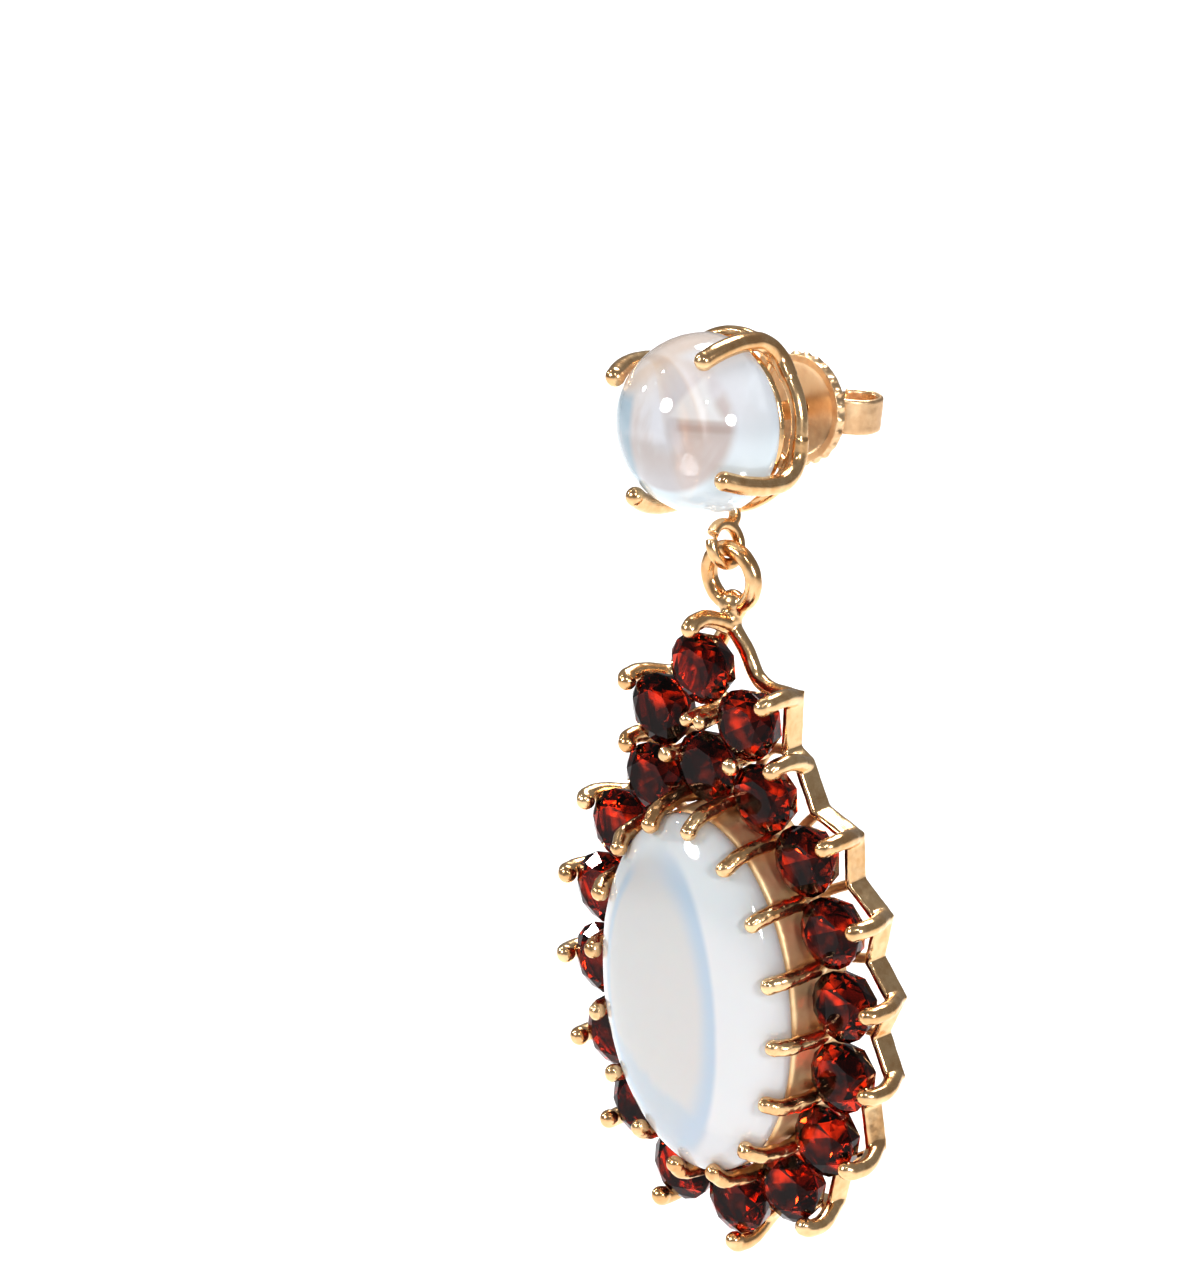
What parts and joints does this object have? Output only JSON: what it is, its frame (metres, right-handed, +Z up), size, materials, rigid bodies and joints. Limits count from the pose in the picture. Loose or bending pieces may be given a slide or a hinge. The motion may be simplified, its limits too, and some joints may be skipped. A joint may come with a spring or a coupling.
{
  "type": "drop earring",
  "caption": "Drop earring: a round cabochon stud with a butterfly clutch, and below it a swinging oval cabochon framed by small round faceted stones in claws.",
  "frame": {"origin": "on the post's axis, in the middle of the ear lobe that it goes through", "axes": "+Z up, -Y to the front where the stones face, +Y back along the post to the clutch, +X to the right as seen from the front"},
  "size_m": [0.0172, 0.0124, 0.0377],
  "materials": {
    "gold": "polished rose-yellow gold",
    "clutch_gold": "satin peach gold",
    "clear_moonstone": "polished, clear with a blue-white glow",
    "milky_moonstone": "polished, milky with a blue-grey sheen",
    "garnet": "faceted and polished, dark red"
  },
  "bodies": {
    "stud": {"stud_setting": "gold", "stud_moonstone": "clear_moonstone"},
    "clutch": {"clutch": "clutch_gold"},
    "drop": {"drop_setting": "gold", "drop_moonstone": "milky_moonstone", "garnet_01": "garnet", "garnet_02": "garnet", "garnet_03": "garnet", "garnet_04": "garnet", "garnet_05": "garnet", "garnet_06": "garnet", "garnet_07": "garnet", "garnet_08": "garnet", "garnet_09": "garnet", "garnet_10": "garnet", "garnet_11": "garnet", "garnet_12": "garnet", "garnet_13": "garnet", "garnet_14": "garnet", "garnet_15": "garnet", "garnet_16": "garnet", "garnet_17": "garnet", "garnet_18": "garnet", "garnet_19": "garnet"}
  },
  "joints": [
    {"name": "drop_swing", "type": "hinge", "parent": "stud", "child": "drop", "pos_m": [0.00152, -0.004, -0.00486], "axis": [1, 0, 0], "range_deg": [-60, 60]},
    {"name": "clutch_slide", "type": "slide", "parent": "stud", "child": "clutch", "axis": [0, 1, 0], "range_m": [-0.0025, 0.0035]}
  ]
}
